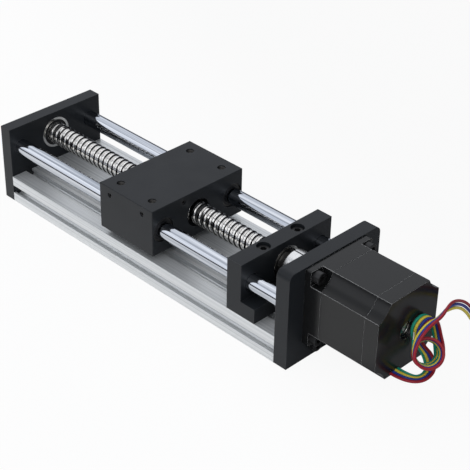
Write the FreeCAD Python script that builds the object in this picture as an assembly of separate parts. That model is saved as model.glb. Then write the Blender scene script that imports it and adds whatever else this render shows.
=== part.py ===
import FreeCAD, Part
import math
import os

Vec = FreeCAD.Vector
os.makedirs("parts", exist_ok=True)

# Driving dimensions in millimetres. X runs along the module from the idle end to the
# motor, Y across it, Z up from the surface that the base stands on.

# Base extrusion
module_width = 85.0
base_height = 20.5
slot_mouth = 6.2
slot_lip = 1.8
slot_inside = 11.0
slot_depth = 7.0
slot_corner_wall = 2.75
side_slot_height = 10.0
top_ledge = 12.5
top_groove_mouth = 5.5
top_groove_inside = 8.5
top_groove_depth = 5.5
core_wall = 2.6
core_screw_wall = 3.0
centre_web_half = 4.0

# Shared axis of the screw, the rods and the motor
axis_height = 42.5
rod_edge_distance = 10.0
rod_diameter = 12.0
rod_seat_end = 4.0
rod_seat_motor = 7.5

# End plate and motor plate
end_plate_thickness = 10.0
end_plate_above_axis = 17.0
motor_plate_thickness = 11.0
motor_plate_above_motor = 1.0
motor_plate_corner = 5.0

# Support block
block_wall = 12.5
block_foot = 12.5
block_foot_below_axis = 11.0
block_above_axis = 17.0
block_to_motor_plate = 43.0
coupling_room = 0.8
foot_trough_start = 2.0
block_screw_wall = 1.5
block_head_sink = 2.0
block_head_room = 0.6

# Ball screw
screw_diameter = 16.0
screw_lead = 5.0
journal_diameter = 12.0
shoulder_diameter = 15.0
screw_tail_diameter = 10.0
shoulder_gap = 0.7

# Screw bearings
bearing_outer_diameter = 24.0
bearing_width = 6.0
bearing_inner_ring_diameter = 15.4
bearing_race_diameter = 20.4
bearing_shield_thickness = 0.8
bearing_shield_inset = 0.5
bearing_lip = 0.5
block_lip_room = 0.6
end_bore_room = 3.0
retaining_ring_thickness = 1.0
retaining_ring_wall = 1.7
retaining_groove = 0.3
journal_overhang = 0.8

# Lock nut
lock_nut_diameter = 19.0
lock_nut_length = 5.0
lock_nut_slots = 4
lock_nut_slot_width = 3.5
lock_nut_slot_depth = 1.5
lock_nut_gap = 0.5

# Slider
slider_length = 54.0
slider_height = 35.5
slider_below_axis = 17.5
slider_start = 101.7
stroke = 170.0
stop_room = 1.5
slider_hole_x = 32.0
slider_hole_radius = 3.0
slider_hole_depth = 7.0
slider_chamfer = 0.4
side_screw_below_top = 6.0
side_screw_spacing = 33.0
side_screw_radius = 2.0
side_screw_length = 5.0
side_screw_sink = 0.6

# Linear bearings
linear_bearing_diameter = 18.0
linear_bearing_length = 25.0
linear_bearing_inset = 1.2
seal_thickness = 2.0
seal_wall = 1.2
ring_groove_place = 3.6
ring_groove_width = 1.3
ring_groove_depth = 0.6

# Ball nut
nut_body_diameter = 28.0
nut_flange_diameter = 46.0
nut_flange_height = 30.0
nut_flange_room = 2.5
nut_flange_thickness = 8.0
nut_length = 48.0
slider_opening = 21.0
nut_screw_spacing = 30.0
nut_screw_wall = 0.4
nut_screw_side_wall = 2.0
wiper_thickness = 2.5
wiper_diameter = 22.0
plug_beside_axis = 13.6
plug_below_top = 4.4
plug_radius = 2.0
plug_length = 5.0

# Jaw coupling
coupling_diameter = 25.0
coupling_setback = 6.5
hub_length = 12.0
spider_length = 8.0
claw_angle = 56.0
spider_arm_angle = 33.0
spider_core_diameter = 14.0
spider_bore_diameter = 11.0
clamp_slit = 1.0
clamp_screw_offset = 8.2
clamp_screw_seat = 3.0
clamp_screw_reach = 9.0

# Stepper motor
motor_square = 57.0
motor_length = 60.0
flange_thickness = 5.0
bell_depth = 8.5
rear_cap_length = 11.0
flange_corner = 1.5
scoop_leg = 10.5
scoop_sag = 1.5
pilot_diameter = 38.1
pilot_height = 1.6
motor_hole_spacing = 47.14
motor_screw_pocket = 5.6
motor_shaft_diameter = 8.0
motor_shaft_reach = 19.0
stator_bore = 30.0
rotor_gap = 0.4
rotor_length = 30.0
winding_slots = 8
winding_slot_angle = 18.0
winding_inner = 17.5
winding_outer = 23.5
winding_overhang = 5.0
housing_bore = 24.0
motor_boss = 13.5
motor_bearing_cover = 1.5
motor_bearing_diameter = 22.0
motor_bearing_width = 7.0
motor_bearing_inner = 12.0
motor_bearing_race = 18.0
rear_hole_diameter = 13.0
rear_hole_depth = 2.5
lead_exit_width = 11.0
lead_exit_height = 3.2
lead_exit_place = -9.0
lead_exit_depth = 4.5

# Motor leads: four side by side along one bundle. Each place gives the bundle's middle as X
# from the motor's rear face, Y and Z, then the direction from lead to lead. The first ones
# are measured from the middle of the lead exit, the rest from the middle plane and the floor.
# The short lead ends in the knot; the others go on along the arch.
lead_diameter = 2.0
lead_pitch = 2.35
lead_corner = 0.45
lead_names = ("green", "yellow", "blue", "red")
short_lead = "green"
exit_route = [
    (0.0, 0.0, 0.0, 0.0, -1.0, 0.0),
    (8.6, 0.0, 0.0, 0.43, -1.0, 0.0),
    (15.8, 6.7, -1.6, 0.85, -0.6, 0.2)]
knot_route = [
    (15.8, 7.8, 15.8, 0.9, 0.0, 0.35),
    (10.1, 11.0, 22.6, 0.9, 0.1, 0.3),
    (6.3, 7.0, 30.4, 1.0, 0.1, 0.0),
    (5.1, 3.0, 37.8, 1.0, 0.0, 0.0),
    (5.0, 2.9, 45.8, 1.0, 0.0, 0.0),
    (5.3, 10.1, 50.1, 1.0, 0.0, 0.0),
    (6.2, 17.4, 45.8, 1.0, 0.0, 0.0),
    (7.1, 19.3, 39.8, 0.9, -0.1, 0.1),
    (9.0, 19.9, 33.0, 0.9, -0.2, 0.2),
    (14.0, 16.0, 28.4, 0.85, -0.3, 0.25),
    (19.8, 9.0, 28.6, 0.7, -0.5, 0.4),
    (20.4, 0.8, 26.7, 0.7, -0.6, 0.4),
    (17.2, -5.2, 27.0, 0.6, -0.7, 0.4),
    (13.2, -8.0, 31.0, 0.5, -0.7, 0.4),
    (10.4, -6.9, 36.2, 0.4, -0.7, 0.6),
    (10.5, -2.8, 41.2, 0.4, -0.6, 0.7),
    (14.4, 2.0, 43.3, 0.5, -0.5, 0.7),
    (20.3, 4.6, 41.7, 0.6, -0.4, 0.7),
    (25.4, 3.4, 37.5, 0.7, -0.4, 0.5),
    (27.1, -1.6, 33.0, 0.7, -0.5, 0.4),
    (25.1, -8.0, 31.6, 0.7, -0.7, 0.4),
    (21.4, -12.6, 33.5, 0.6, -0.7, 0.4),
    (16.8, -14.7, 39.2, 0.5, -0.7, 0.5),
    (14.4, -9.9, 47.6, 0.8, -0.5, 0.2)]
arch_route = [
    (14.2, -4.2, 52.1, 0.8, -0.4, 0.3),
    (14.4, 2.4, 54.5, 0.8, -0.3, 0.4),
    (15.7, 9.2, 55.2, 0.6, -0.2, 0.6),
    (13.2, 18.6, 55.0, 0.4, 0.0, 0.9),
    (11.2, 28.0, 52.0, 0.0, 0.0, 1.0),
    (9.2, 37.0, 47.4, 0.0, 0.2, 1.0),
    (7.8, 45.5, 41.4, 0.0, 0.4, 0.9),
    (7.0, 53.0, 33.8, 0.0, 0.5, 0.8),
    (6.5, 59.5, 25.4, 0.2, 0.7, 0.5),
    (6.0, 66.0, 17.0, 0.7, 0.6, 0.3),
    (5.5, 73.5, 8.8, 1.0, 0.2, 0.1),
    (5.0, 83.0, 2.9, 1.0, 0.0, 0.0),
    (4.5, 94.0, 1.1, 1.0, 0.0, 0.0)]

# Fasteners: metric sizes by shank radius, head radius, head height and key size
m25 = (1.25, 2.25, 2.5, 2.0)
m4 = (2.0, 3.5, 4.0, 3.0)
m5 = (2.5, 4.25, 5.0, 4.0)
m6_low = (3.0, 5.0, 3.2, 4.0)
plate_screw_wall = 1.25
plate_screw_below_motor = 0.55
plate_screw_grip = 11.0
rod_screw_grip = 12.0
block_screw_grip = 8.0
motor_screw_grip = 9.0
nut_screw_grip = 9.0
head_sink = 0.3
head_chamfer = 0.3
key_depth_share = 0.55

# Clearances
running = 0.08
free_gap = 0.3
fit_gap = 0.02
thread_gap = 0.15
hole_gap = 0.25
counterbore_gap = 0.25
drill_gap = 0.2

# Places along X, with the origin halfway along the rigid module
base_length = slider_length + stroke + 2 * stop_room + block_to_motor_plate
overall_length = end_plate_thickness + base_length + motor_plate_thickness + motor_length
x_end_outer = -overall_length / 2
x_end_inner = x_end_outer + end_plate_thickness
x_plate_inner = x_end_inner + base_length
x_plate_outer = x_plate_inner + motor_plate_thickness
x_motor_rear = x_plate_outer + motor_length
x_block_inner = x_plate_inner - block_to_motor_plate
x_block_outer = x_block_inner + block_wall
x_block_foot = x_block_outer + block_foot
x_slider_end = x_end_inner + slider_start
x_slider_motor = x_slider_end + slider_length
x_slider_middle = x_slider_end + slider_length / 2
x_coupling = x_block_outer + coupling_setback
x_coupling_mid = x_coupling + hub_length
x_hub_motor = x_coupling_mid + spider_length

half_width = module_width / 2
bottom_slot_place = half_width - slot_depth - slot_corner_wall - slot_inside / 2
top_groove_place = half_width - top_ledge - top_groove_mouth / 2
rod_y = half_width - rod_edge_distance
rod_radius = rod_diameter / 2
motor_bottom = axis_height - motor_square / 2
motor_plate_height = axis_height + motor_square / 2 + motor_plate_above_motor
slider_bottom = axis_height - slider_below_axis
slider_top = slider_bottom + slider_height
block_top = axis_height + block_above_axis
plate_screw_place = bottom_slot_place - slot_inside / 2 - m5[0] - plate_screw_wall
plate_screw_height = motor_bottom - m5[1] - plate_screw_below_motor
core_half = plate_screw_place - m5[0] - core_screw_wall
block_screw_place = bearing_outer_diameter / 2 + m5[0] + block_screw_wall
nut_flange_width = 2 * (rod_y - linear_bearing_diameter / 2 - nut_flange_room)
nut_screw_y = min(nut_screw_spacing / 2, nut_flange_width / 2 - m4[1] - nut_screw_side_wall)
nut_screw_level = nut_flange_height / 2 - m4[1] - nut_screw_wall

slide_low = stop_room - slider_start
slide_high = slide_low + stroke


def box(x0, x1, y0, y1, z0, z1):
    return Part.makeBox(x1 - x0, y1 - y0, z1 - z0, Vec(x0, y0, z0))


def rod(x0, x1, radius, y=0.0, z=axis_height):
    """Round bar along X, on the screw axis unless another place is given."""
    return Part.makeCylinder(radius, x1 - x0, Vec(x0, y, z), Vec(1, 0, 0))


def tube(x0, x1, outer, inner, y=0.0, z=axis_height):
    return rod(x0, x1, outer, y, z).cut(rod(x0, x1, inner, y, z))


def sector(x0, x1, outer, inner, middle_angle, width_angle):
    """Part of a ring along X about the screw axis, middle_angle measured from +Y."""
    lower = middle_angle - width_angle / 2
    outline = Part.makeCylinder(outer, x1 - x0, Vec(0, 0, 0), Vec(0, 0, 1), width_angle)
    piece = outline.cut(Part.makeCylinder(inner, x1 - x0))
    piece.rotate(Vec(0, 0, 0), Vec(0, 0, 1), lower)
    piece.rotate(Vec(0, 0, 0), Vec(1, 1, 1), 120)
    piece.translate(Vec(x0, 0, axis_height))
    return piece


def prism(outline, x0, x1):
    """Solid along X from a closed outline of (y, z) corners."""
    wire = Part.makePolygon([Vec(x0, y, z) for y, z in outline + outline[:1]])
    return Part.Face(wire).extrude(Vec(x1 - x0, 0, 0))


def turned(shape, origin, direction):
    """Moves a shape built on +Z at the origin to a place and a direction."""
    moved = shape.copy()
    moved.Placement = FreeCAD.Placement(origin, FreeCAD.Rotation(Vec(0, 0, 1), direction))
    return moved


def hexagon(across_flats):
    """Six-sided face in the XY plane, for a key socket."""
    corner = across_flats / math.sqrt(3)
    turns = [math.radians(angle) for angle in range(0, 361, 60)]
    return Part.Face(Part.makePolygon([Vec(corner * math.cos(turn), corner * math.sin(turn), 0) for turn in turns]))


def cap_screw(size, reach):
    """Socket head screw: the seat at the origin, the head up, the shank down."""
    shank_radius, head_radius, head_height, key = size
    head = Part.makeCylinder(head_radius, head_height)
    head = head.makeChamfer(head_chamfer, [head.Edges[0]])
    key_depth = head_height * key_depth_share
    socket = hexagon(key).extrude(Vec(0, 0, key_depth))
    socket.translate(Vec(0, 0, head_height - key_depth))
    shank = Part.makeCylinder(shank_radius - thread_gap, reach, Vec(0, 0, -reach))
    return head.cut(socket).fuse(shank).removeSplitter()


def set_screw(radius, length, key):
    """Headless screw: its face at the origin, its length down."""
    body = Part.makeCylinder(radius - thread_gap, length, Vec(0, 0, -length))
    return body.cut(hexagon(key).extrude(Vec(0, 0, -length / 2)))


def screw_hole(size, reach, head_depth, head_room=counterbore_gap):
    """Cutter for a counterbored hole with its seat at the origin and head_room round the head."""
    shank_radius, head_radius, head_height, key = size
    hole = Part.makeCylinder(shank_radius + hole_gap, reach, Vec(0, 0, -reach))
    return hole.fuse(Part.makeCylinder(head_radius + head_room, head_depth))


def tapped_hole(size, reach):
    return Part.makeCylinder(size[0], reach + drill_gap, Vec(0, 0, -reach - drill_gap))


def screw_well(radius, length):
    """Cutter for a headless screw's hole, open above the screw."""
    return Part.makeCylinder(radius, length + drill_gap + 2, Vec(0, 0, -length - drill_gap))


def t_slot(mouth, inside, depth, lip):
    """Outline of a T-slot in its own plane: mouth at v = 0, floor at v = depth."""
    corner = (inside - mouth) / 4
    half = inside / 2
    return [(-mouth / 2, -1.0), (mouth / 2, -1.0), (mouth / 2, lip), (half, lip),
            (half, depth - corner), (half - corner, depth), (corner - half, depth),
            (-half, depth - corner), (-half, lip), (-mouth / 2, lip)]


nodes = {}


def keep(name, *solids):
    """Files one node of the assembly, from one solid or several separate ones."""
    shape = solids[0] if len(solids) == 1 else Part.makeCompound(list(solids))
    nodes[name] = shape


plate_screws_end = [Vec(x_end_outer + m5[2] + head_sink, side * plate_screw_place, plate_screw_height)
                    for side in (-1, 1)]
plate_screws_motor = [Vec(x_plate_outer, side * plate_screw_place, plate_screw_height)
                      for side in (-1, 1)]
rod_screws = [Vec(x_end_outer + m6_low[2] + head_sink, side * rod_y, axis_height) for side in (-1, 1)]
end_screw_reach = end_plate_thickness - m5[2] - head_sink + plate_screw_grip
motor_plate_screw_reach = motor_plate_thickness + plate_screw_grip
rod_screw_reach = end_plate_thickness - rod_seat_end - m6_low[2] - head_sink + rod_screw_grip
x_rod_end = x_end_inner - rod_seat_end
x_rod_motor = x_plate_inner + rod_seat_motor
block_screws = [Vec(x_block_inner + block_wall / 2, side * block_screw_place,
                    block_top - m5[2] - block_head_sink) for side in (-1, 1)]
block_screw_reach = block_top - base_height - m5[2] - block_head_sink + block_screw_grip
motor_screws = [Vec(x_plate_outer + flange_thickness, side * motor_hole_spacing / 2,
                    axis_height + level * motor_hole_spacing / 2) for side in (-1, 1) for level in (-1, 1)]
motor_screw_reach = flange_thickness + motor_screw_grip
nut_screws = [Vec(x_slider_end + m4[2] + head_sink, side * nut_screw_y, axis_height + level * nut_screw_level)
              for side in (-1, 1) for level in (-1, 1)]
nut_screw_reach = nut_flange_thickness - m4[2] - head_sink + nut_screw_grip
slider_holes = [Vec(x_slider_middle + end * slider_hole_x / 2, side * rod_y, slider_top)
                for end in (-1, 1) for side in (-1, 1)]
side_screws = [Vec(x_slider_middle + end * side_screw_spacing / 2, side * (half_width - side_screw_sink),
                   slider_top - side_screw_below_top) for end in (-1, 1) for side in (-1, 1)]
plug_seat = Vec(x_slider_motor - side_screw_sink, -plug_beside_axis, slider_top - plug_below_top)
x_nut_end = x_slider_end + nut_length
clamp_seat = Vec(hub_length / 2, clamp_screw_seat, axis_height + clamp_screw_offset)
lead_exit_span = (lead_exit_place - lead_exit_width / 2, lead_exit_place + lead_exit_width / 2)
bearing_seat = bearing_outer_diameter / 2 + fit_gap
x_bell = x_plate_outer + flange_thickness + bell_depth
x_rear_cap = x_motor_rear - rear_cap_length


def base_extrusion():
    """Aluminium profile with T-slots in its sides and bottom and two grooves in its top."""
    profile = box(x_end_inner, x_plate_inner, -half_width, half_width, 0, base_height)
    slot = t_slot(slot_mouth, slot_inside, slot_depth, slot_lip)
    groove = t_slot(top_groove_mouth, top_groove_inside, top_groove_depth, slot_lip)
    outlines = []
    for sign in (-1, 1):
        outlines.append([(sign * (half_width - v), side_slot_height + u) for u, v in slot])
        outlines.append([(sign * bottom_slot_place + u, v) for u, v in slot])
        outlines.append([(sign * top_groove_place + u, base_height - v) for u, v in groove])
        outlines.append([(sign * y, z) for y, z in (
            (centre_web_half, core_wall), (core_half, core_wall),
            (core_half, base_height - core_wall), (centre_web_half, base_height - core_wall))])
    for outline in outlines:
        profile = profile.cut(prism(outline, x_end_inner - 1, x_plate_inner + 1))
    for seat in plate_screws_end:
        profile = profile.cut(turned(tapped_hole(m5, end_screw_reach), seat, Vec(-1, 0, 0)))
    for seat in plate_screws_motor:
        profile = profile.cut(turned(tapped_hole(m5, motor_plate_screw_reach), seat, Vec(1, 0, 0)))
    for seat in block_screws:
        profile = profile.cut(turned(tapped_hole(m5, block_screw_reach), seat, Vec(0, 0, 1)))
    return profile


def end_plate():
    """Idle-end plate: bearing pocket, rod seats and counterbored screw holes."""
    plate = box(x_end_outer, x_end_inner, -half_width, half_width, 0, axis_height + end_plate_above_axis)
    plate = plate.cut(rod(x_end_inner - bearing_width, x_end_inner + 1, bearing_seat))
    plate = plate.cut(rod(x_end_outer - 1, x_end_inner, journal_diameter / 2 + end_bore_room))
    for seat in plate_screws_end:
        plate = plate.cut(turned(screw_hole(m5, end_screw_reach, m5[2] + 1), seat, Vec(-1, 0, 0)))
    for seat in rod_screws:
        plate = plate.cut(rod(x_rod_end, x_end_inner + 1, rod_radius + fit_gap, seat.y))
        plate = plate.cut(turned(screw_hole(m6_low, rod_screw_reach, m6_low[2] + 1), seat, Vec(-1, 0, 0)))
    return plate


def motor_plate():
    """Motor-end plate with rounded top corners, the motor's pilot bore and its four tapped holes."""
    plate = box(x_plate_inner, x_plate_outer, -half_width, half_width, 0, motor_plate_height)
    top_edges = [edge for edge in plate.Edges
                 if abs(edge.CenterOfMass.z - motor_plate_height) < 0.01
                 and abs(abs(edge.CenterOfMass.y) - half_width) < 0.01]
    plate = plate.makeFillet(motor_plate_corner, top_edges)
    plate = plate.cut(rod(x_plate_inner - 1, x_plate_outer + 1, pilot_diameter / 2 + fit_gap))
    for side in (-1, 1):
        plate = plate.cut(rod(x_plate_inner - 1, x_rod_motor, rod_radius + fit_gap, side * rod_y))
    for seat in plate_screws_motor:
        plate = plate.cut(turned(screw_hole(m5, motor_plate_screw_reach, 1), seat, Vec(1, 0, 0)))
    for seat in motor_screws:
        plate = plate.cut(turned(tapped_hole(m5, motor_screw_reach), seat, Vec(1, 0, 0)))
    return plate


def support_block():
    """Upright block on the motor side that holds the screw's two bearings, with its foot."""
    wall = box(x_block_inner, x_block_outer, -half_width, half_width, base_height, block_top)
    foot = box(x_block_outer, x_block_foot, -half_width, half_width,
               base_height, axis_height - block_foot_below_axis)
    body = wall.fuse(foot).removeSplitter()
    body = body.cut(rod(x_block_inner - 1, x_block_foot + 1, bearing_race_diameter / 2 + block_lip_room))
    body = body.cut(rod(x_block_inner + bearing_lip, x_block_outer + 1, bearing_seat))
    body = body.cut(rod(x_coupling - foot_trough_start, x_block_foot + 1, coupling_diameter / 2 + coupling_room))
    for side in (-1, 1):
        body = body.cut(rod(x_block_inner - 1, x_block_outer + 1, rod_radius + drill_gap, side * rod_y))
    for seat in block_screws:
        cutter = screw_hole(m5, block_screw_reach, m5[2] + block_head_sink + 1, block_head_room)
        body = body.cut(turned(cutter, seat, Vec(0, 0, 1)))
    return body


def nut_flange(x0, x1, room):
    """Round ball nut flange with flats on all four sides, enlarged by room for its recess."""
    disc = rod(x0, x1, nut_flange_diameter / 2 + room)
    half_y = nut_flange_width / 2 + room
    half_z = nut_flange_height / 2 + room
    return disc.common(box(x0, x1, -half_y, half_y, axis_height - half_z, axis_height + half_z))


def slider_block():
    """Carriage block bored for two linear bearings per rod and recessed for the ball nut."""
    body = box(x_slider_end, x_slider_motor, -half_width, half_width, slider_bottom, slider_top)
    body = body.makeChamfer(slider_chamfer, body.Edges)
    for side in (-1, 1):
        body = body.cut(rod(x_slider_end - 1, x_slider_motor + 1,
                            linear_bearing_diameter / 2 + fit_gap, side * rod_y))
    body = body.cut(nut_flange(x_slider_end - 1, x_slider_end + nut_flange_thickness, hole_gap))
    body = body.cut(rod(x_slider_end, x_nut_end + free_gap, nut_body_diameter / 2 + fit_gap))
    body = body.cut(rod(x_nut_end, x_slider_motor + 1, slider_opening / 2))
    for seat in nut_screws:
        body = body.cut(turned(tapped_hole(m4, nut_screw_reach), seat, Vec(-1, 0, 0)))
    for seat in slider_holes:
        body = body.cut(Part.makeCylinder(slider_hole_radius, slider_hole_depth + 1, seat, Vec(0, 0, -1)))
        body = body.cut(Part.makeCylinder(slider_hole_radius, 1, seat, Vec(0, 0, 1)))
    for seat in side_screws:
        outward = Vec(0, math.copysign(1, seat.y), 0)
        body = body.cut(turned(screw_well(side_screw_radius, side_screw_length), seat, outward))
    return body.cut(turned(screw_well(plug_radius, plug_length), plug_seat, Vec(1, 0, 0)))


def ball_nut():
    """Flanged nut: flange recessed in the idle-end face, wiper seats at both ends."""
    body = nut_flange(x_slider_end, x_slider_end + nut_flange_thickness, 0)
    body = body.fuse(rod(x_slider_end + nut_flange_thickness, x_nut_end, nut_body_diameter / 2))
    body = body.removeSplitter()
    body = body.cut(rod(x_slider_end - 1, x_nut_end + 1, screw_diameter / 2 + running))
    for x0 in (x_slider_end - 1, x_nut_end - wiper_thickness):
        body = body.cut(rod(x0, x0 + wiper_thickness + 1, wiper_diameter / 2 + fit_gap))
    for seat in nut_screws:
        body = body.cut(turned(screw_hole(m4, nut_screw_reach, m4[2] + 1), seat, Vec(-1, 0, 0)))
    return body


def linear_bearing(x0, y):
    """Ball bushing sleeve with retaining ring grooves outside and seal seats at its ends."""
    outer = linear_bearing_diameter / 2
    x1 = x0 + linear_bearing_length
    sleeve = tube(x0, x1, outer, rod_radius + running, y)
    for start in (x0 - 1, x1 - seal_thickness):
        sleeve = sleeve.cut(rod(start, start + seal_thickness + 1, outer - seal_wall + fit_gap, y))
    for start in (x0 + ring_groove_place, x1 - ring_groove_place - ring_groove_width):
        sleeve = sleeve.cut(tube(start, start + ring_groove_width, outer + 1, outer - ring_groove_depth, y))
    return sleeve


def coupling_hub(bore_radius):
    """Clamping hub on the screw axis: its outer face at x = 0, its two claws towards +X."""
    hub = rod(0, hub_length, coupling_diameter / 2)
    for angle in (0, 180):
        hub = hub.fuse(sector(hub_length, hub_length + spider_length - free_gap, coupling_diameter / 2,
                              spider_core_diameter / 2 + free_gap, angle, claw_angle))
    hub = hub.removeSplitter().cut(rod(-1, hub_length + 1, bore_radius))
    slit = box(-1, hub_length + 1, -clamp_slit / 2, clamp_slit / 2,
               axis_height, axis_height + coupling_diameter)
    clamp_hole = turned(screw_hole(m25, coupling_diameter, coupling_diameter), clamp_seat, Vec(0, 1, 0))
    tapped = turned(tapped_hole(m25, clamp_screw_reach), clamp_seat, Vec(0, 1, 0))
    near_half = box(-1, hub_length + 1, 0, coupling_diameter, 0, axis_height + coupling_diameter)
    return hub.cut(slit).cut(clamp_hole.common(near_half)).cut(tapped)


def to_motor_side(shape):
    """Turns a piece of the screw-side hub round to face it, a quarter turn further."""
    moved = shape.copy()
    moved.rotate(Vec(0, 0, axis_height), Vec(0, 0, 1), 180)
    moved.rotate(Vec(0, 0, axis_height), Vec(1, 0, 0), 90)
    moved.translate(Vec(x_hub_motor + hub_length, 0, 0))
    return moved


def to_screw_side(shape):
    moved = shape.copy()
    moved.translate(Vec(x_coupling, 0, 0))
    return moved


def motor_section(x0, x1):
    """Square motor bar with a shallow hollow scooped out of each long corner."""
    half = motor_square / 2
    start = half - scoop_leg
    middle = half - scoop_leg / 2 - scoop_sag / math.sqrt(2)
    edges = []
    corners = [(1, 1), (-1, 1), (-1, -1), (1, -1)]
    for index, (sy, sz) in enumerate(corners):
        along = [(half, start), (start, half)]
        if sy * sz < 0:
            along.reverse()
        first, last = [Vec(x0, sy * a, axis_height + sz * b) for a, b in along]
        deep = Vec(x0, sy * middle, axis_height + sz * middle)
        edges.append(Part.Arc(first, deep, last).toShape())
        next_y, next_z = corners[(index + 1) % 4]
        following = (half, start) if next_y * next_z > 0 else (start, half)
        target = Vec(x0, next_y * following[0], axis_height + next_z * following[1])
        edges.append(Part.LineSegment(last, target).toShape())
    return Part.Face(Part.Wire(edges)).extrude(Vec(x1 - x0, 0, 0))


def motor_flange():
    """Front of the motor: pilot, square flange, bell with screw pockets, bearing boss."""
    half = motor_square / 2
    x_face = x_plate_outer + flange_thickness
    body = box(x_plate_outer, x_bell, -half, half, axis_height - half, axis_height + half)
    upright = [edge for edge in body.Edges if abs(edge.CenterOfMass.x - (x_plate_outer + x_bell) / 2) < 0.01]
    body = body.makeFillet(flange_corner, upright)
    body = body.fuse(rod(x_plate_outer - pilot_height, x_plate_outer, pilot_diameter / 2)).removeSplitter()
    body = body.cut(rod(x_face, x_bell + 1, housing_bore))
    boss_end = x_plate_outer + motor_bearing_cover + motor_bearing_width
    body = body.fuse(rod(x_face, boss_end, motor_boss)).removeSplitter()
    body = body.cut(rod(x_plate_outer + motor_bearing_cover, boss_end + 1,
                        motor_bearing_diameter / 2 + fit_gap))
    body = body.cut(rod(x_plate_outer - pilot_height - 1, boss_end, motor_bearing_inner / 2 + free_gap))
    for seat in motor_screws:
        sy = math.copysign(1, seat.y)
        sz = math.copysign(1, seat.z - axis_height)
        pocket = Part.makeCylinder(motor_screw_pocket, bell_depth + 1, seat, Vec(1, 0, 0))
        for wide_y, wide_z in ((motor_screw_pocket, 0), (0, motor_screw_pocket)):
            y_ends = sorted((seat.y - sy * wide_y, sy * motor_square))
            z_ends = sorted((seat.z - sz * wide_z, axis_height + sz * motor_square))
            pocket = pocket.fuse(box(x_face, x_bell + 1, *y_ends, *z_ends))
        body = body.cut(pocket)
        body = body.cut(turned(screw_hole(m5, motor_screw_reach, 0.5), seat, Vec(1, 0, 0)))
    return body


def motor_rear_cap():
    """Rear end cap: bearing seat, central opening and the notch that the leads leave by."""
    cap = motor_section(x_rear_cap, x_motor_rear)
    x_floor = x_motor_rear - lead_exit_depth
    cap = cap.cut(rod(x_rear_cap - 1, x_floor, housing_bore))
    x_seat = x_motor_rear - rear_hole_depth
    cap = cap.fuse(rod(x_seat - motor_bearing_width, x_floor, motor_boss)).removeSplitter()
    cap = cap.cut(rod(x_rear_cap - 1, x_seat, motor_bearing_diameter / 2 + fit_gap))
    cap = cap.cut(rod(x_seat - 1, x_motor_rear + 1, rear_hole_diameter / 2))
    cap = cap.cut(box(x_floor - lead_exit_height, x_motor_rear + 1, *lead_exit_span,
                      motor_bottom - 1, motor_bottom + lead_exit_height))
    return cap.cut(box(x_floor - lead_exit_height, x_floor, *lead_exit_span,
                       motor_bottom - 1, axis_height - housing_bore + lead_exit_height))


def motor_stator():
    """Laminated body with the rotor bore and the winding slots round it."""
    body = motor_section(x_bell, x_rear_cap).cut(rod(x_bell - 1, x_rear_cap + 1, stator_bore / 2))
    for slot in range(winding_slots):
        body = body.cut(sector(x_bell - 1, x_rear_cap + 1, winding_outer, winding_inner,
                               slot * 360 / winding_slots, winding_slot_angle))
    return body


def motor_windings():
    """Copper windings: a bar in every slot, joined by an end turn ring front and back."""
    x0 = x_bell - winding_overhang
    x1 = x_rear_cap + winding_overhang
    outer = winding_outer - drill_gap
    inner = winding_inner + drill_gap
    coils = tube(x0, x_bell - drill_gap, outer, inner)
    coils = coils.fuse(tube(x_rear_cap + drill_gap, x1, outer, inner))
    for slot in range(winding_slots):
        coils = coils.fuse(sector(x0, x1, outer, inner, slot * 360 / winding_slots,
                                  winding_slot_angle - 1))
    return coils.removeSplitter()


def ball_screw():
    """Screw with its journals, shoulders and coupling tail; the ball track is a surface feature."""
    x_thread_start = x_end_inner + shoulder_gap
    x_thread_end = x_block_inner - shoulder_gap
    x_shoulder = x_block_inner + bearing_lip
    x_journal_start = x_end_inner - bearing_width - retaining_ring_thickness - journal_overhang
    x_tail = x_block_outer + lock_nut_length + lock_nut_gap
    screw = rod(x_journal_start, x_end_inner, journal_diameter / 2)
    screw = screw.fuse(rod(x_end_inner, x_thread_start, shoulder_diameter / 2))
    screw = screw.fuse(rod(x_thread_start, x_thread_end, screw_diameter / 2))
    screw = screw.fuse(rod(x_thread_end, x_shoulder, shoulder_diameter / 2))
    screw = screw.fuse(rod(x_shoulder, x_tail, journal_diameter / 2))
    screw = screw.fuse(rod(x_tail, x_coupling_mid - free_gap, screw_tail_diameter / 2))
    x_ring = x_end_inner - bearing_width - retaining_ring_thickness
    groove = tube(x_ring, x_ring + retaining_ring_thickness, journal_diameter,
                  journal_diameter / 2 - retaining_groove)
    return screw.removeSplitter().cut(groove)


def bearing(x0, outer, race, inner, bore, width):
    """Ball bearing with its left face at x0: outer ring, two shields, inner ring."""
    rings = [tube(x0, x0 + width, outer, race), tube(x0, x0 + width, inner, bore + fit_gap)]
    starts = (x0 + bearing_shield_inset, x0 + width - bearing_shield_inset - bearing_shield_thickness)
    shields = [tube(start, start + bearing_shield_thickness, race, inner + running) for start in starts]
    return rings[0], shields, rings[1]


def guide_rod(side):
    body = rod(x_rod_end, x_rod_motor, rod_radius, side * rod_y)
    seat = Vec(rod_screws[0].x, side * rod_y, axis_height)
    return body.cut(turned(tapped_hole(m6_low, rod_screw_reach), seat, Vec(-1, 0, 0)))


def lock_nut():
    """Round nut that holds the screw's bearings, with spanner slots in its rim."""
    x1 = x_block_outer + lock_nut_length
    outer = lock_nut_diameter / 2
    nut = tube(x_block_outer, x1, outer, journal_diameter / 2 + fit_gap)
    for slot in range(lock_nut_slots):
        notch = box(x_block_outer - 1, x1 + 1, -lock_nut_slot_width / 2, lock_nut_slot_width / 2,
                    axis_height + outer - lock_nut_slot_depth, axis_height + outer + 1)
        notch.rotate(Vec(0, 0, axis_height), Vec(1, 0, 0), slot * 360 / lock_nut_slots)
        nut = nut.cut(notch)
    return nut


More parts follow.
